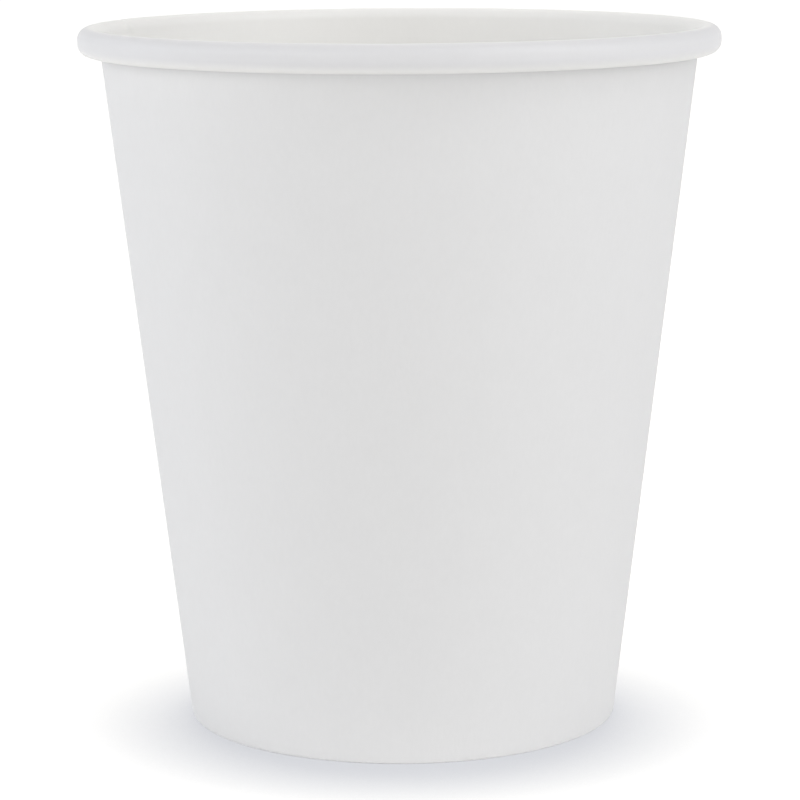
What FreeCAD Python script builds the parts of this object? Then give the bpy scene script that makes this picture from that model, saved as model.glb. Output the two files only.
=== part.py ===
import FreeCAD, Part
import math
import os

# A plain paper cup for hot drinks, standing on its foot. Sizes are in millimetres, +Z is up,
# and the origin is the centre of the foot's resting plane, on the axis of the cup.
#
# It is glued up from two pieces of board, as the real cup is.
# side_wall: one fan-shaped blank, wrapped into a cone. Its straight edges overlap in a side
# seam just behind the left-hand side (-X), its top edge is rolled outwards into the rim, and
# its bottom edge is folded inwards and up over the skirt of the bottom.
# bottom_disc: one round blank, drawn into a shallow cap. Its skirt points down and is held
# between the wall and the folded edge.

# Overall sizes
rim_diameter = 90.0
cup_height = 98.5
base_diameter = 61.0    # outer face of the wall, carried down to the resting plane

# Board
wall_board = 0.35
bottom_board = 0.30

# Rolled rim
roll_width = 3.3
roll_side = 0.6         # straight stretch down the outside of the roll
roll_gap = 0.10         # between the wall and the edge that is tucked up inside the roll
tuck_length = 0.9

# Foot
recess_depth = 7.5      # resting plane to the underside of the bottom
fold_gap = 0.7          # raw edge of the fold to the underside of the bottom
fold_inner_radius = 0.05
disc_bend_radius = 0.5  # middle of the board, where the bottom turns down into its skirt
skirt_gap = 0.15        # raw edge of the skirt to the inside of the fold

# Side seam
seam_direction = 165.0  # degrees round from +X towards +Y
seam_overlap = 7.5      # this, the ramp and the relief run round the wall, at the roll's centre
seam_ramp = 2.0         # over which the outer flap rises onto the inner flap
seam_press_start = 1.2  # the flaps are pressed to one thickness below this height
seam_press_length = 3.0
seam_relief = 1.0       # past the outer flap, before the rim's edge is tucked up again

# Sizes that follow from those above
roll_radius = roll_width / 2
roll_centre = FreeCAD.Vector(rim_diameter / 2 - roll_radius, 0, cup_height - roll_radius)


def wall_slope():
    """Angle of the wall from the vertical: its outer face leaves the base and runs tangent
    to the inside of the roll."""
    across = roll_centre.x - base_diameter / 2
    up = roll_centre.z
    reach = math.hypot(across, up)
    return math.atan2(across, up) - math.asin((roll_radius - wall_board) / reach)


slope = wall_slope()
along_wall = FreeCAD.Vector(math.sin(slope), 0, math.cos(slope))
into_cup = FreeCAD.Vector(-math.cos(slope), 0, math.sin(slope))


def cone_radius(height, depth):
    """Radius of the cone that lies a depth inside the wall's outer face."""
    return base_diameter / 2 + height * math.tan(slope) - depth / math.cos(slope)


def unit(angle):
    return FreeCAD.Vector(math.cos(angle), 0, math.sin(angle))


# A strip of board, seen edge on in the XZ plane, is a start and a list of moves along the
# middle of its thickness. A place on it is a point and a heading.

def straight(length):
    return ("straight", length, 0.0)


def bend(angle, radius):
    """A turn of the middle line. A positive angle turns left."""
    return ("bend", angle, radius)


def follow(place, move):
    """The place after one move."""
    point, heading = place
    kind, amount, radius = move
    if kind == "straight":
        return point + unit(heading) * amount, heading
    side = math.copysign(math.pi / 2, amount)
    centre = point + unit(heading + side) * radius
    turned = heading + amount
    return centre - unit(turned + side) * radius, turned


def beside(place, offset):
    """The point that far to the left of a place."""
    point, heading = place
    return point + unit(heading + math.pi / 2) * offset


def face_edges(start, moves, offset):
    """The line that runs beside the moves, as edges, and the place where they end."""
    edges = []
    place = start
    for move in moves:
        kind, amount, radius = move
        end = follow(place, move)
        first, last = beside(place, offset), beside(end, offset)
        if kind == "bend":
            middle = beside(follow(place, (kind, amount / 2, radius)), offset)
            edges.append(Part.Arc(first, middle, last).toShape())
        else:
            edges.append(Part.LineSegment(first, last).toShape())
        place = end
    return edges, place


def board_outline(start, moves, thickness):
    """The closed outline of a strip of board that follows the moves."""
    left, end = face_edges(start, moves, thickness / 2)
    right, end = face_edges(start, moves, -thickness / 2)
    raw_edges = [
        Part.LineSegment(beside(place, thickness / 2), beside(place, -thickness / 2)).toShape()
        for place in (start, end)
    ]
    return Part.Wire(Part.sortEdges(left + right + raw_edges)[0])


# The wall's strip starts at the raw edge inside the foot, goes down, turns under the skirt,
# climbs the wall, rolls over outwards and ends tucked up inside the roll. A shift moves the
# strip outwards, off the inner flap of the seam, above where the flaps are pressed together.
# The same shift takes it inwards in the roll, where the outer flap is the inner turn.

fold_radius = fold_inner_radius + wall_board / 2
fold_spacing = wall_board + bottom_board
fold_flat = (fold_spacing - 2 * fold_radius) / math.cos(slope)
fold_height = recess_depth - fold_gap
roll_middle_radius = roll_radius - wall_board / 2
quarter = math.pi / 2


def tuck_radius():
    """Middle radius of the last turn of the roll, which ends beside the wall."""
    drop = roll_side + roll_middle_radius
    room = roll_middle_radius + drop * math.sin(slope) - wall_board - roll_gap
    return room / (1 + math.sin(slope))


def fold_moves():
    """From the raw edge in the foot, down and round the end of the skirt, to the wall."""
    corner_rise = wall_board / 2 + fold_radius * (1 + math.sin(slope))
    return [
        straight((fold_height - corner_rise) / math.cos(slope)),
        bend(quarter + slope, fold_radius),
        straight(fold_flat),
        bend(quarter - slope, fold_radius),
    ]


def wall_foot():
    """Where the fold ends and the wall starts to climb, on the middle of the board."""
    height = wall_board / 2 + fold_radius * (1 - math.sin(slope))
    return FreeCAD.Vector(cone_radius(height, wall_board / 2), 0, height)


def fold_start():
    """The middle of the raw edge in the foot, pointing down."""
    downwards = -quarter - slope
    place = (FreeCAD.Vector(), downwards)
    for move in fold_moves():
        place = follow(place, move)
    return wall_foot() - place[0], downwards


def climb_moves(shift):
    """Up the wall, to where the roll begins."""
    roll_begins = roll_centre + into_cup * roll_middle_radius
    whole = (roll_begins - wall_foot()).dot(along_wall)
    below = (seam_press_start - wall_foot().z) / math.cos(slope)
    above = whole - below - seam_press_length
    if shift == 0:
        # Two moves here too, so that the ramp joins outlines of as many edges.
        step = [straight(seam_press_length / 2)] * 2
    else:
        turn = 2 * math.atan(shift / seam_press_length)
        radius = seam_press_length / 2 / math.sin(turn)
        step = [bend(-turn, radius), bend(turn, radius)]
    return [straight(below)] + step + [straight(above)]


def roll_moves(shift, turn_left_out):
    """Over the top, down the outside and in under, short of the last turn by that angle."""
    radius = roll_middle_radius - shift
    last_turn = quarter + slope - turn_left_out
    moves = [
        bend(-2 * quarter + slope, radius),
        straight(roll_side),
        bend(-quarter, radius),
        bend(-last_turn, tuck_radius() - shift),
    ]
    if turn_left_out == 0:
        moves.append(straight(tuck_length))
    return moves


def wall_outline(shift=0.0, turn_left_out=0.0):
    moves = fold_moves() + climb_moves(shift) + roll_moves(shift, turn_left_out)
    return board_outline(fold_start(), moves, wall_board)


def swept(outline, first_angle, last_angle):
    """The outline, carried round the axis from one angle to another, in degrees."""
    axis = FreeCAD.Vector(0, 0, 1)
    face = Part.Face(outline)
    face.rotate(FreeCAD.Vector(), axis, first_angle)
    return face.revolve(FreeCAD.Vector(), axis, last_angle - first_angle)


def turned(outline, angle):
    copy = outline.copy()
    copy.rotate(FreeCAD.Vector(), FreeCAD.Vector(0, 0, 1), angle)
    return copy


def side_wall():
    seam_radius = cone_radius(roll_centre.z, 0)
    degrees_per_mm = math.degrees(1 / seam_radius)
    inner_edge = seam_direction - seam_overlap / 2 * degrees_per_mm
    outer_edge = seam_direction + seam_overlap / 2 * degrees_per_mm
    ramp_start = inner_edge - seam_ramp * degrees_per_mm
    relief_end = outer_edge + seam_relief * degrees_per_mm

    # Inside the roll the inner flap stops short, to leave room for the outer one.
    room = wall_board / (tuck_radius() + wall_board / 2)
    cut_back = math.acos(1 - room)

    plain = wall_outline()
    raised = wall_outline(shift=wall_board)
    once_round = swept(plain, relief_end, ramp_start + 360)
    inner_flap = swept(wall_outline(turn_left_out=cut_back), inner_edge, relief_end)
    outer_flap = swept(raised, inner_edge, outer_edge)
    ramp_sides = [turned(plain, ramp_start), turned(raised, inner_edge)]
    ramp = Part.makeLoft(ramp_sides, True, True)
    return once_round.fuse([inner_flap, outer_flap, ramp]).removeSplitter()


def bottom_disc():
    disc_height = recess_depth + bottom_board / 2
    bend_height = disc_height - disc_bend_radius
    skirt_depth = wall_board + bottom_board / 2
    disc_radius = cone_radius(bend_height, skirt_depth + disc_bend_radius)
    skirt_top = bend_height - disc_bend_radius * math.sin(slope)
    skirt_bottom = wall_board + skirt_gap
    moves = [
        straight(disc_radius),
        bend(-quarter - slope, disc_bend_radius),
        straight((skirt_top - skirt_bottom) / math.cos(slope)),
    ]
    start = (FreeCAD.Vector(0, 0, disc_height), 0.0)
    return swept(board_outline(start, moves, bottom_board), 0, 360)


os.makedirs("parts", exist_ok=True)
for name, shape in (("side_wall", side_wall()), ("bottom_disc", bottom_disc())):
    solids = shape.Solids
    print(name, "solids", len(solids), "valid", shape.isValid(), "volume", round(shape.Volume, 2))
    solids[0].exportStep(f"parts/{name}.step")
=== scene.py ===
import math
import bmesh
import bpy
from mathutils import Matrix, Vector


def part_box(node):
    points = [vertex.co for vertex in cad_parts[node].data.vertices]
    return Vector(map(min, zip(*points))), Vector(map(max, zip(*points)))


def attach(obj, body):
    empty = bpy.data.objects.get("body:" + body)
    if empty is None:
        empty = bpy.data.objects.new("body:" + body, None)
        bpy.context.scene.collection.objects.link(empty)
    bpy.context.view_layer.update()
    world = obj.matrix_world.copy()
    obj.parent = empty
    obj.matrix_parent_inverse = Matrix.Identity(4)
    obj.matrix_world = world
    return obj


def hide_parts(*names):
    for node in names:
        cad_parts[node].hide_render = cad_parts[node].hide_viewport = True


# A plain white paper cup for hot drinks, glued up from two pieces of board. Metres, +Z is up,
# and the foot stands on the floor at the origin. Each piece of board is drawn edge on as a line
# that runs and bends, and that outline is spun round the axis of the cup.

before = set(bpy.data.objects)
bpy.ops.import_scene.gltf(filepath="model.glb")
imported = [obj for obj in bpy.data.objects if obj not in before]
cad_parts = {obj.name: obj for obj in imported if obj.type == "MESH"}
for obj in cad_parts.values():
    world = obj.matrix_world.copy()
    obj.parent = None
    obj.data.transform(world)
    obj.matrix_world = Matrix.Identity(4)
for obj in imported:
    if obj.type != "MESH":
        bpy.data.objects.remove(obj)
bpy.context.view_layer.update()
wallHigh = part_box("side_wall")[1]
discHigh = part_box("bottom_disc")[1]

mm = 0.001
quarterTurn = math.pi / 2
mergeDistance = 0.003 * mm
sharpAngle = math.radians(38)

cup = {
    "rimRadius": wallHigh.x,
    "height": wallHigh.z,
    "baseRadius": 30.5 * mm,    # outer face of the wall, carried down to the floor
    "floorHeight": discHigh.z,  # top of the bottom piece
    "wallBoard": 0.35 * mm,
    "bottomBoard": 0.30 * mm,
    "wedges": 16,               # away from the seam the wall is one wedge and its copies
    "wedgeSteps": 30,
}

roll = {
    "width": 3.3 * mm,
    "side": 0.6 * mm,          # straight stretch down the outside
    "gap": 0.1 * mm,           # between the wall and the tucked edge
    "tuck": 0.9 * mm,
    "paintedShadeFrom": (0.4, 0.65),   # shares of the turn over the top in which the painted shade of the roll fades in
    "paintedShadeTo": (0.05, 0.7),     # shares of the turn underneath in which it fades out, leaving a lighter underside as painted light
}

foot = {
    "cornerRadius": 0.225 * mm,   # middle of the board, where it turns under the skirt
    "foldHeight": 6.8 * mm,
    "knurlDepth": 0.09 * mm,      # ribs pressed into the fold to grip the skirt
    "knurlCount": 120,
    "knurlLow": 1.4 * mm,
    "knurlHigh": 5.9 * mm,
    "knurlEase": 0.8 * mm,        # each rib rises and sinks over this height
}

seam = {
    "direction": math.radians(165),  # middle of the overlap, round from +X towards +Y
    "overlap": 7.5 * mm,             # widths are measured round the wall, at the roll
    "overlapSteps": 14,
    "ramp": 2.0 * mm,
    "rampSteps": 8,
    "edge": 0.02 * mm,               # how far round a cut edge takes to step up
    "pressLow": 1.2 * mm,            # the flaps are pressed to one thickness below this
    "pressHigh": 4.2 * mm,
    "innerEnd": (0.2, 0.5),          # shares of the roll's last turn in which the inner flap ends
}

rollRadius = roll["width"] / 2
rollX = cup["rimRadius"] - rollRadius
rollZ = cup["height"] - rollRadius
# the wall leans so that it runs into the roll without a kink
slope = math.atan2(rollX - cup["baseRadius"], rollZ) - math.asin(
    (rollRadius - cup["wallBoard"]) / math.hypot(rollX - cup["baseRadius"], rollZ))


def coneRadius(height, depth):
    # radius of the cone that lies that deep inside the wall's outer face
    return cup["baseRadius"] + height * math.tan(slope) - depth / math.cos(slope)


def smoothStep(value, low, high):
    share = min(max((value - low) / (high - low), 0), 1)
    return share * share * (3 - 2 * share)


# Drawing a board edge on

def pointing(heading):
    return Vector((math.cos(heading), 0, math.sin(heading)))


def run(length, rows=1):
    return {"length": length, "angle": 0, "radius": 0, "rows": rows}


def turn(angle, radius, rows=8):
    # positive angles turn left, and the radius is that of the middle of the board
    return {"length": abs(angle) * radius, "angle": angle, "radius": radius, "rows": rows}


def stepPen(bm, pen, move, offset):
    # one row of a move, drawn by extruding the last point or spinning it
    share = 1 / move["rows"]
    if move["angle"] == 0:
        ahead = pointing(pen["heading"])
        made = bmesh.ops.extrude_vert_indiv(bm, verts=[pen["point"]])["verts"]
        bmesh.ops.translate(bm, verts=made, vec=ahead * move["length"] * share)
    else:
        toCentre = pointing(pen["heading"] + math.copysign(quarterTurn, move["angle"]))
        reach = move["radius"] - math.copysign(1, move["angle"]) * offset
        made = bmesh.ops.spin(
            bm, geom=[pen["point"]], cent=pen["point"].co + toCentre * reach, axis=(0, -1, 0),
            angle=move["angle"] * share, steps=1, use_duplicate=False)["geom_last"]
        made = [item for item in made if isinstance(item, bmesh.types.BMVert)]
        pen["heading"] += move["angle"] * share
    pen["point"] = made[0]
    pen["travel"] += move["length"] * share


def drawFace(bm, layers, start, heading, moves, offset):
    # one face of the board, as a line of edges; a positive offset is the face on the left
    corner = start + pointing(heading + quarterTurn) * offset
    pen = {"point": bm.verts.new(corner), "heading": heading, "travel": 0}
    line = [pen["point"]]
    markPoint(pen, layers, offset)
    for move in moves:
        for row in range(move["rows"]):
            stepPen(bm, pen, move, offset)
            markPoint(pen, layers, offset)
            line.append(pen["point"])
    return line


def markPoint(pen, layers, offset):
    pen["point"][layers["travel"]] = pen["travel"]
    pen["point"][layers["heading"]] = pen["heading"]
    pen["point"][layers["side"]] = math.copysign(1, offset)


def newBoard():
    bm = bmesh.new()
    names = ("travel", "heading", "side", "rolled")
    layers = {name: bm.verts.layers.float.new(name) for name in names}
    return bm, layers


def drawBoard(bm, layers, start, heading, moves, thickness):
    # both faces of the board and its cut edges; a board that starts on the axis has none there
    leftFace = drawFace(bm, layers, start, heading, moves, thickness / 2)
    rightFace = drawFace(bm, layers, start, heading, moves, -thickness / 2)
    bm.edges.new((leftFace[-1], rightFace[-1]))
    if start.x > 0:
        bm.edges.new((leftFace[0], rightFace[0]))


def spinBoard(bm, firstAngle, sweeps, wedges):
    # carries the outline round the axis, in stretches that each have their own step; the last
    # stretch is one wedge and copies of it, because a long spin slows down with every step
    toStart = Matrix.Rotation(firstAngle, 3, "Z")
    bmesh.ops.rotate(bm, verts=bm.verts[:], cent=(0, 0, 0), matrix=toStart)
    geometry = bm.verts[:] + bm.edges[:]
    for angle, steps in sweeps:
        sweptBefore = set(bm.faces)
        geometry = bmesh.ops.spin(
            bm, geom=geometry, cent=(0, 0, 0), axis=(0, 0, 1),
            angle=angle, steps=steps, use_duplicate=False)["geom_last"]
    wedge = [face for face in bm.faces if face not in sweptBefore]
    for copy in range(1, wedges):
        made = bmesh.ops.duplicate(bm, geom=wedge)["geom"]
        points = [item for item in made if isinstance(item, bmesh.types.BMVert)]
        toPlace = Matrix.Rotation(sweeps[-1][0] * copy, 3, "Z")
        bmesh.ops.rotate(bm, verts=points, cent=(0, 0, 0), matrix=toPlace)
    bmesh.ops.remove_doubles(bm, verts=bm.verts[:], dist=mergeDistance)


def paintBoard(bm, layers, edgeAngle=0):
    # the left face is lined; what joins the faces, or spans less than that angle, is a cut edge
    places = {name: place for place, name in enumerate(boardLooks)}
    for face in bm.faces:
        sides = [point[layers["side"]] for point in face.verts]
        angles = [math.atan2(point.co.y, point.co.x) for point in face.verts]
        if min(sides) < max(sides) or max(angles) - min(angles) < edgeAngle:
            face.material_index = places["cutEdge"]
        elif min(sides) > 0:
            face.material_index = places["linedBoard"]
        else:
            face.material_index = places["outerBoard"]


def finishPiece(bm, name, node):
    bmesh.ops.recalc_face_normals(bm, faces=bm.faces[:])
    mesh = bpy.data.meshes.new(name)
    bm.to_mesh(mesh)
    bm.free()
    for attribute in ("travel", "heading", "side"):
        mesh.attributes.remove(mesh.attributes[attribute])
    for material in boardMaterials:
        mesh.materials.append(material)
    mesh.shade_smooth()
    mesh.set_sharp_from_angle(angle=sharpAngle)
    piece = bpy.data.objects.new(name, mesh)
    bpy.context.scene.collection.objects.link(piece)
    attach(piece, "root")
    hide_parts(node)
    print(name, "has", len(mesh.polygons), "faces")


# Materials

def link(tree, source, target):
    tree.links.new(source, target)


def mathNode(tree, operation, first, second):
    node = tree.nodes.new("ShaderNodeMath")
    node.operation = operation
    for socket, value in ((node.inputs[0], first), (node.inputs[1], second)):
        if isinstance(value, bpy.types.NodeSocket):
            link(tree, value, socket)
        else:
            socket.default_value = value
    return node.outputs[0]


def noiseNode(tree, coordinate, scale, detail, stretch=(1, 1, 1)):
    mapping = tree.nodes.new("ShaderNodeMapping")
    mapping.inputs["Scale"].default_value = stretch
    link(tree, coordinate, mapping.inputs["Vector"])
    noise = tree.nodes.new("ShaderNodeTexNoise")
    noise.inputs["Scale"].default_value = scale
    noise.inputs["Detail"].default_value = detail
    link(tree, mapping.outputs["Vector"], noise.inputs["Vector"])
    return noise.outputs["Fac"]


pulp = {
    "cloudScale": 260,             # soft clouds in the sheet
    "cloudDetail": 3,
    "cloudHeight": 0.8,            # heights are set against that of the fibres
    "fibreScale": 1900,
    "fibreDetail": 4,
    "fibreStretch": (1, 1, 0.45),  # longer up the cup than round it
    "toothScale": 5200,            # the fine tooth of the surface
    "toothDetail": 2,
    "toothHeight": 0.35,
}


def swing(tree, value, depth):
    # turns a value between 0 and 1 into one that swings about zero
    return mathNode(tree, "MULTIPLY", mathNode(tree, "SUBTRACT", value, 0.5), depth)


def makeFibreGroup():
    group = bpy.data.node_groups.new("boardFibre", "ShaderNodeTree")
    sockets = (
        ("Colour", "NodeSocketColor", "INPUT"),
        ("Cloud Depth", "NodeSocketFloat", "INPUT"),
        ("Fibre Depth", "NodeSocketFloat", "INPUT"),
        ("Roughness", "NodeSocketFloat", "INPUT"),
        ("Roughness Spread", "NodeSocketFloat", "INPUT"),
        ("Colour", "NodeSocketColor", "OUTPUT"),
        ("Roughness", "NodeSocketFloat", "OUTPUT"),
        ("Height", "NodeSocketFloat", "OUTPUT"),
    )
    for name, kind, direction in sockets:
        group.interface.new_socket(name=name, in_out=direction, socket_type=kind)
    entry = group.nodes.new("NodeGroupInput")
    leave = group.nodes.new("NodeGroupOutput")
    place = group.nodes.new("ShaderNodeTexCoord").outputs["Object"]
    clouds = noiseNode(group, place, pulp["cloudScale"], pulp["cloudDetail"])
    fibres = noiseNode(group, place, pulp["fibreScale"], pulp["fibreDetail"], pulp["fibreStretch"])
    tooth = noiseNode(group, place, pulp["toothScale"], pulp["toothDetail"])

    cloudShade = swing(group, clouds, entry.outputs["Cloud Depth"])
    fibreShade = swing(group, fibres, entry.outputs["Fibre Depth"])
    shade = mathNode(group, "ADD", mathNode(group, "ADD", cloudShade, fibreShade), 1)
    colour = group.nodes.new("ShaderNodeVectorMath")
    colour.operation = "SCALE"
    link(group, entry.outputs["Colour"], colour.inputs["Vector"])
    link(group, shade, colour.inputs["Scale"])
    link(group, colour.outputs["Vector"], leave.inputs["Colour"])

    spread = swing(group, fibres, entry.outputs["Roughness Spread"])
    roughness = mathNode(group, "ADD", spread, entry.outputs["Roughness"])
    link(group, roughness, leave.inputs["Roughness"])

    fine = mathNode(group, "MULTIPLY", tooth, pulp["toothHeight"])
    coarse = mathNode(group, "MULTIPLY", clouds, pulp["cloudHeight"])
    height = mathNode(group, "ADD", mathNode(group, "ADD", fibres, fine), coarse)
    link(group, height, leave.inputs["Height"])
    return group


fibreGroup = makeFibreGroup()

boardLooks = {
    "outerBoard": {   # the bare white face, outside the cup and under its bottom
        "colour": (0.80, 0.80, 0.80),
        "clouds": 0.02,
        "fibres": 0.035,
        "roughness": 0.65,
        "spread": 0.15,
        "bump": 0.016 * mm,
        "coat": 0.0,
        "coatRoughness": 0.28,
        "specular": 0.35,
    },
    "linedBoard": {   # the plastic-lined face, inside the cup and round the roll
        # colour: partly the lining's own warm white, partly painted light, brighter than the outer
        # face to stand in for light that comes through the thin board into the cup
        "colour": (0.92, 0.915, 0.895),
        "paintedShadeColour": (0.765, 0.765, 0.775),   # painted shade: darker and bluer where the lining turns over the roll's outside
        "clouds": 0.02,
        "fibres": 0.02,
        "roughness": 0.5,
        "spread": 0.1,
        "bump": 0.009 * mm,
        "coat": 0.1,
        "coatRoughness": 0.28,
        "specular": 0.4,
    },
    "cutEdge": {      # the fuzzy core that shows at the cut edges
        "colour": (0.78, 0.76, 0.72),
        "clouds": 0.05,
        "fibres": 0.12,
        "roughness": 0.85,
        "spread": 0.1,
        "bump": 0.03 * mm,
        "coat": 0.0,
        "coatRoughness": 0.28,
        "specular": 0.3,
    },
}


def makeBoardMaterial(name):
    look = boardLooks[name]
    material = bpy.data.materials.new(name)
    material.use_nodes = True
    tree = material.node_tree
    shader = tree.nodes["Principled BSDF"]
    fibre = tree.nodes.new("ShaderNodeGroup")
    fibre.node_tree = fibreGroup
    fibre.inputs["Colour"].default_value = (*look["colour"], 1)
    fibre.inputs["Cloud Depth"].default_value = look["clouds"]
    fibre.inputs["Fibre Depth"].default_value = look["fibres"]
    fibre.inputs["Roughness"].default_value = look["roughness"]
    fibre.inputs["Roughness Spread"].default_value = look["spread"]
    bump = tree.nodes.new("ShaderNodeBump")
    bump.inputs["Strength"].default_value = 1
    bump.inputs["Distance"].default_value = look["bump"]
    # painted shade on the roll's outside, blended in by the mask made on the wall; where the mask
    # falls off under the roll, the lighter lining colour is painted light
    if "paintedShadeColour" in look:
        rolled = tree.nodes.new("ShaderNodeAttribute")
        rolled.attribute_name = "rolled"
        blend = tree.nodes.new("ShaderNodeMix")
        blend.data_type = "RGBA"
        link(tree, rolled.outputs["Fac"], blend.inputs["Factor"])
        blend.inputs["A"].default_value = (*look["colour"], 1)
        blend.inputs["B"].default_value = (*look["paintedShadeColour"], 1)
        link(tree, blend.outputs["Result"], fibre.inputs["Colour"])
    link(tree, fibre.outputs["Height"], bump.inputs["Height"])
    link(tree, fibre.outputs["Colour"], shader.inputs["Base Color"])
    link(tree, fibre.outputs["Roughness"], shader.inputs["Roughness"])
    link(tree, bump.outputs["Normal"], shader.inputs["Normal"])
    shader.inputs["Specular IOR Level"].default_value = look["specular"]
    shader.inputs["Coat Weight"].default_value = look["coat"]
    shader.inputs["Coat Roughness"].default_value = look["coatRoughness"]
    return material


boardMaterials = [makeBoardMaterial(name) for name in boardLooks]
print("board materials made")


# The wall: fold, wall, rolled rim and tucked edge are one strip of board

def wallMoves():
    board = cup["wallBoard"]
    corner = foot["cornerRadius"]
    middle = rollRadius - board / 2
    footZ = board / 2 + corner * (1 - math.sin(slope))
    footX = coneRadius(footZ, board / 2)
    rollStart = Vector((rollX - middle * math.cos(slope), 0, rollZ + middle * math.sin(slope)))
    climb = (rollStart - Vector((footX, 0, footZ))).length
    pressed = (seam["pressLow"] - footZ) / math.cos(slope)
    easing = seam["pressHigh"] - seam["pressLow"]
    cornerRise = board / 2 + corner * (1 + math.sin(slope))
    flat = (board + cup["bottomBoard"] - 2 * corner) / math.cos(slope)
    room = middle + (roll["side"] + middle) * math.sin(slope) - board - roll["gap"]
    tuckRadius = room / (1 + math.sin(slope))
    moves = {
        "fold": run((foot["foldHeight"] - cornerRise) / math.cos(slope), rows=9),
        "innerCorner": turn(quarterTurn + slope, corner, rows=4),
        "footRing": run(flat),
        "outerCorner": turn(quarterTurn - slope, corner, rows=4),
        "pressedWall": run(pressed),
        "easingWall": run(easing, rows=6),
        "wall": run(climb - pressed - easing, rows=10),
        "rollOver": turn(-2 * quarterTurn + slope, middle, rows=18),
        "rollSide": run(roll["side"]),
        "rollUnder": turn(-quarterTurn, middle, rows=9),
        "rollIn": turn(-quarterTurn - slope, tuckRadius, rows=9),
        "tuck": run(roll["tuck"]),
    }
    # the fold starts where walking its moves leads to the foot of the wall
    place = Vector((0, 0, 0))
    heading = -quarterTurn - slope
    for name in ("fold", "innerCorner", "footRing", "outerCorner"):
        move = moves[name]
        chord = move["length"]
        if move["angle"] != 0:
            chord = 2 * move["radius"] * math.sin(abs(move["angle"]) / 2)
        along = heading + move["angle"] / 2
        place += pointing(along) * chord
        heading += move["angle"]
    return moves, Vector((footX, 0, footZ)) - place


def travelTo(moves, name):
    # distance along the board at which that move starts
    names = list(moves)
    return sum(moves[earlier]["length"] for earlier in names[:names.index(name)])


def stretchOf(moves, name, shares):
    # where along the board those shares of a move lie
    start = travelTo(moves, name)
    return [start + moves[name]["length"] * share for share in shares]


def seamAngles():
    perWidth = 1 / coneRadius(rollZ, 0)
    rampEnd = seam["direction"] - seam["overlap"] / 2 * perWidth
    return {
        "rampStart": rampEnd - seam["ramp"] * perWidth,
        "rampEnd": rampEnd,
        "overlapEnd": seam["direction"] + seam["overlap"] / 2 * perWidth,
        "ramp": seam["ramp"] * perWidth,
        "edge": seam["edge"] * perWidth,
    }


def wallSweeps(at):
    # the ramp, a cut edge, the overlap, a cut edge, and the rest of the way round
    around = 2 * math.pi - (at["overlapEnd"] + at["edge"] - at["rampStart"])
    return [
        (at["ramp"], seam["rampSteps"]),
        (at["edge"], 1),
        (at["overlapEnd"] - at["rampEnd"] - at["edge"], seam["overlapSteps"]),
        (at["edge"], 1),
        (around / cup["wedges"], cup["wedgeSteps"]),
    ]


def flapLift(at, angle, onLeft, innerGone):
    # how far a point is lifted by the seam, in board thicknesses
    tolerance = at["edge"] / 4   # a point on a line counts as before it
    if angle < at["rampEnd"] + tolerance:
        return smoothStep(angle, at["rampStart"], at["rampEnd"])
    if angle >= at["overlapEnd"] + tolerance:
        return 0
    if onLeft:
        return innerGone
    return 1


def knurlDepth(height, angle):
    # how deep the ribs press in at that height on the fold
    ease = foot["knurlEase"]
    window = smoothStep(height, foot["knurlLow"], foot["knurlLow"] + ease)
    window *= 1 - smoothStep(height, foot["knurlHigh"] - ease, foot["knurlHigh"])
    rib = 0.5 + 0.5 * math.cos(angle * foot["knurlCount"])
    return foot["knurlDepth"] * window * rib


def makeWall():
    moves, start = wallMoves()
    bm, layers = newBoard()
    drawBoard(bm, layers, start, -quarterTurn - slope, list(moves.values()), cup["wallBoard"])
    at = seamAngles()
    spinBoard(bm, at["rampStart"], wallSweeps(at), cup["wedges"])

    eased = stretchOf(moves, "easingWall", (0, 1))
    innerEnd = stretchOf(moves, "rollIn", seam["innerEnd"])
    paintedShadeFrom = stretchOf(moves, "rollOver", roll["paintedShadeFrom"])
    paintedShadeTo = stretchOf(moves, "rollUnder", roll["paintedShadeTo"])
    foldEnd = travelTo(moves, "innerCorner")
    for point in bm.verts:
        travel = point[layers["travel"]]
        heading = point[layers["heading"]]
        onLeft = point[layers["side"]] > 0
        angle = math.atan2(point.co.y, point.co.x)
        # mask of the painted shade: on over the top and front of the roll, off again underneath, so
        # the underside shows the lighter lining colour as painted light
        point[layers["rolled"]] = smoothStep(travel, *paintedShadeFrom) * (1 - smoothStep(travel, *paintedShadeTo))
        lift = flapLift(at, angle, onLeft, smoothStep(travel, *innerEnd))
        shift = cup["wallBoard"] * lift * smoothStep(travel, *eased)
        if not onLeft and travel < foldEnd:
            shift -= knurlDepth(foot["foldHeight"] - travel, angle)
        if shift != 0:
            outwards = math.sin(heading) * shift
            upwards = -math.cos(heading) * shift
            point.co += Vector((math.cos(angle) * outwards, math.sin(angle) * outwards, upwards))

    edgeAngle = at["edge"] * 1.5   # every other face spans more
    paintBoard(bm, layers, edgeAngle)
    finishPiece(bm, "wrappedWall", "side_wall")


# The bottom: a round blank, drawn into a shallow cap

bottom = {
    "bendRadius": 0.5 * mm,   # middle of the board
    "skirtRoom": 0.15 * mm,   # between the skirt's edge and the foot ring
    "wedges": 12,
    "wedgeSteps": 20,
}


def makeBottom():
    board = cup["bottomBoard"]
    bend = bottom["bendRadius"]
    discZ = cup["floorHeight"] - board / 2
    bendZ = discZ - bend
    discRadius = coneRadius(bendZ, cup["wallBoard"] + board / 2 + bend)
    skirtTop = bendZ - bend * math.sin(slope)
    skirtLow = cup["wallBoard"] + bottom["skirtRoom"]
    moves = [
        run(discRadius, rows=12),
        turn(-quarterTurn - slope, bend, rows=8),
        run((skirtTop - skirtLow) / math.cos(slope), rows=3),
    ]
    bm, layers = newBoard()
    drawBoard(bm, layers, Vector((0, 0, discZ)), 0, moves, board)
    wedgeAngle = 2 * math.pi / bottom["wedges"]
    spinBoard(bm, 0, [(wedgeAngle, bottom["wedgeSteps"])], bottom["wedges"])
    paintBoard(bm, layers)
    finishPiece(bm, "drawnBottom", "bottom_disc")


makeWall()
makeBottom()

# Floor, light and camera

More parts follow.
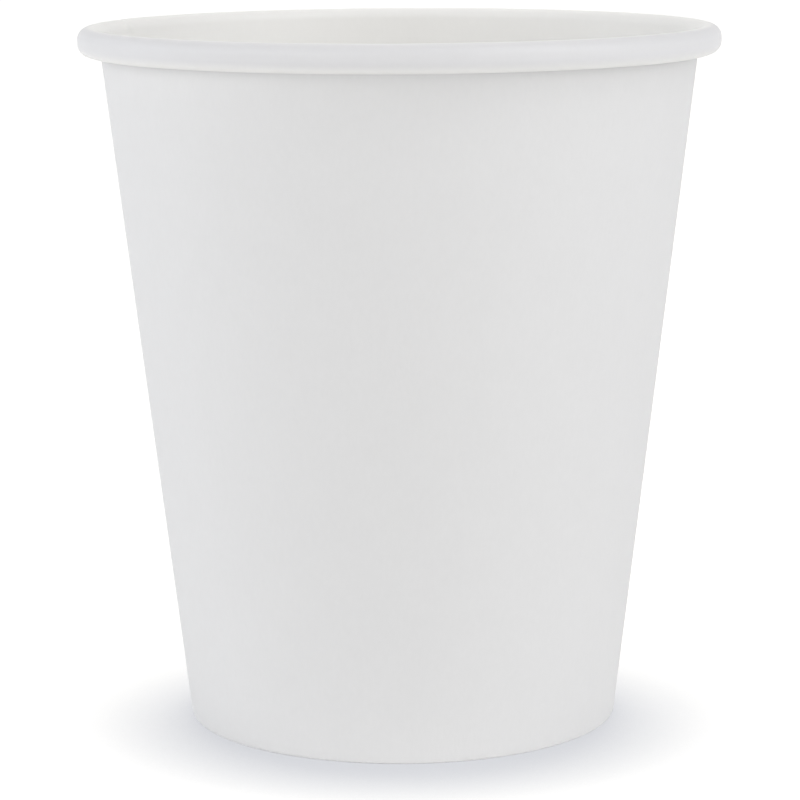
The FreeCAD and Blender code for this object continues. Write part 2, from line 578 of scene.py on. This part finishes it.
stage = {
    "floorSize": 6.0,
    "floorColour": (0.97, 0.97, 0.97),    # for the light that bounces off it
    "seenColour": (0.10, 0.10, 0.10),     # for the camera, which also sees the glow below
    "openGlow": (1.055, 1.048, 1.03),     # of the floor out in the open
    "shadowGlow": (0.235, 0.259, 0.33),   # of the floor where the cup closes it in
    "shadowReach": 24 * mm,
    "shadowLimit": 0.44,                  # the least openness, which keeps the contact line soft
    "shadowLean": math.radians(30),       # the floor looks up and back, so the shadow falls forward
    "skyColour": (0.98, 0.98, 1.0),
    "skyStrength": 0.2,
}

tent = {
    "distance": 1.6,
    "panelSize": 0.8,
    "aimHeight": 0.05,
    "tints": {
        "cool": (0.93, 0.955, 1.0),
        "plain": (0.99, 0.99, 1.0),
        "warm": (1.0, 0.975, 0.9),
    },
    # azimuth from +X towards +Y and height above the floor, in degrees; watts; tint
    "panels": {
        "leftLow": (180, 4, 3.7, "cool"),
        "frontLeftLow": (-120, 4, 3.7, "plain"),
        "frontRightLow": (-60, 4, 2.1, "warm"),
        "rightLow": (0, 4, 1.1, "plain"),
        "left": (180, 25, 2.5, "cool"),
        "frontLeft": (-150, 25, 3.7, "plain"),
        "nearLeft": (-120, 25, 1.3, "warm"),
        "nearRight": (-60, 25, 0.5, "warm"),
        "frontRight": (-30, 25, 5.2, "plain"),
        "right": (0, 25, 1.8, "cool"),
        "backLeft": (150, 25, 1.4, "cool"),
        "highLeft": (-150, 55, 1.6, "plain"),
        "highRight": (-30, 55, 5.7, "plain"),
        "highBack": (90, 55, 3.2, "warm"),
    },
}

# fitted to the rim, the base and the sides of the cup in the photograph
lens = {
    "place": (-0.185 * mm, -452.318 * mm, 124.117 * mm),
    "downTilt": 0.17312,   # radians, as the next
    "bank": -0.00549,
    "focalPixels": 3210.76,
    "imagePixels": 800,
    "sensorWidth": 36,
    "nearClip": 10 * mm,
}


def lookedAt(tree):
    # 1 for camera, glossy and transmission rays, 0 for the light itself
    path = tree.nodes.new("ShaderNodeLightPath")
    seen = mathNode(tree, "MAXIMUM", path.outputs["Is Camera Ray"], path.outputs["Is Glossy Ray"])
    return mathNode(tree, "MAXIMUM", seen, path.outputs["Is Transmission Ray"])


def makeFloor():
    bm = bmesh.new()
    bmesh.ops.create_grid(bm, x_segments=1, y_segments=1, size=stage["floorSize"] / 2)
    mesh = bpy.data.meshes.new("floor")
    bm.to_mesh(mesh)
    bm.free()
    material = bpy.data.materials.new("whiteFloor")
    material.use_nodes = True
    tree = material.node_tree
    tree.nodes.clear()
    bounce = tree.nodes.new("ShaderNodeBsdfDiffuse")
    bounce.inputs["Color"].default_value = (*stage["floorColour"], 1)
    seen = tree.nodes.new("ShaderNodeBsdfDiffuse")
    seen.inputs["Color"].default_value = (*stage["seenColour"], 1)
    occlusion = tree.nodes.new("ShaderNodeAmbientOcclusion")
    occlusion.inputs["Distance"].default_value = stage["shadowReach"]
    lean = tree.nodes.new("ShaderNodeCombineXYZ")
    lean.inputs["Y"].default_value = math.sin(stage["shadowLean"])
    lean.inputs["Z"].default_value = math.cos(stage["shadowLean"])
    link(tree, lean.outputs["Vector"], occlusion.inputs["Normal"])
    shade = tree.nodes.new("ShaderNodeMix")
    shade.data_type = "RGBA"
    openness = mathNode(tree, "MAXIMUM", occlusion.outputs["AO"], stage["shadowLimit"])
    link(tree, openness, shade.inputs["Factor"])
    shade.inputs["A"].default_value = (*stage["shadowGlow"], 1)
    shade.inputs["B"].default_value = (*stage["openGlow"], 1)
    glow = tree.nodes.new("ShaderNodeEmission")
    link(tree, shade.outputs["Result"], glow.inputs["Color"])
    shown = tree.nodes.new("ShaderNodeAddShader")
    link(tree, seen.outputs["BSDF"], shown.inputs[0])
    link(tree, glow.outputs["Emission"], shown.inputs[1])
    mix = tree.nodes.new("ShaderNodeMixShader")
    link(tree, lookedAt(tree), mix.inputs["Fac"])
    link(tree, bounce.outputs["BSDF"], mix.inputs[1])
    link(tree, shown.outputs["Shader"], mix.inputs[2])
    output = tree.nodes.new("ShaderNodeOutputMaterial")
    link(tree, mix.outputs["Shader"], output.inputs["Surface"])
    mesh.materials.append(material)
    floor = bpy.data.objects.new("floor", mesh)
    bpy.context.scene.collection.objects.link(floor)


def makeSky():
    world = bpy.data.worlds.new("softSky")
    bpy.context.scene.world = world
    world.use_nodes = True
    tree = world.node_tree
    tree.nodes.clear()
    light = tree.nodes.new("ShaderNodeBackground")
    light.inputs["Color"].default_value = (*stage["skyColour"], 1)
    light.inputs["Strength"].default_value = stage["skyStrength"]
    white = tree.nodes.new("ShaderNodeBackground")
    white.inputs["Color"].default_value = (1, 1, 1, 1)
    mix = tree.nodes.new("ShaderNodeMixShader")
    link(tree, lookedAt(tree), mix.inputs["Fac"])
    link(tree, light.outputs["Background"], mix.inputs[1])
    link(tree, white.outputs["Background"], mix.inputs[2])
    output = tree.nodes.new("ShaderNodeOutputWorld")
    link(tree, mix.outputs["Shader"], output.inputs["Surface"])


def makePanel(name):
    azimuth, elevation, power, tint = tent["panels"][name]
    light = bpy.data.lights.new(name, "AREA")
    light.shape = "SQUARE"
    light.size = tent["panelSize"]
    light.energy = power
    light.color = tent["tints"][tint]
    lamp = bpy.data.objects.new(name, light)
    turned = Matrix.Rotation(math.radians(azimuth), 3, "Z")
    raised = Matrix.Rotation(math.radians(-elevation), 3, "Y")
    lamp.location = turned @ raised @ Vector((tent["distance"], 0, 0))
    aim = Vector((0, 0, tent["aimHeight"])) - lamp.location
    lamp.rotation_euler = aim.to_track_quat("-Z", "Y").to_euler()
    lamp.visible_camera = False
    bpy.context.scene.collection.objects.link(lamp)


def makeCamera():
    data = bpy.data.cameras.new("camera")
    data.sensor_width = lens["sensorWidth"]
    data.lens = lens["focalPixels"] / lens["imagePixels"] * lens["sensorWidth"]
    data.clip_start = lens["nearClip"]
    camera = bpy.data.objects.new("camera", data)
    camera.location = lens["place"]
    forward = Vector((0, math.cos(lens["downTilt"]), -math.sin(lens["downTilt"])))
    level = forward.to_track_quat("-Z", "Y").to_matrix()
    banked = level @ Matrix.Rotation(lens["bank"], 3, "Z")
    camera.rotation_euler = banked.to_euler()
    bpy.context.scene.collection.objects.link(camera)
    bpy.context.scene.camera = camera


makeFloor()
makeSky()
for panelName in tent["panels"]:
    makePanel(panelName)
makeCamera()
bpy.context.scene.view_settings.view_transform = "Standard"
print("stage, light tent and camera made")
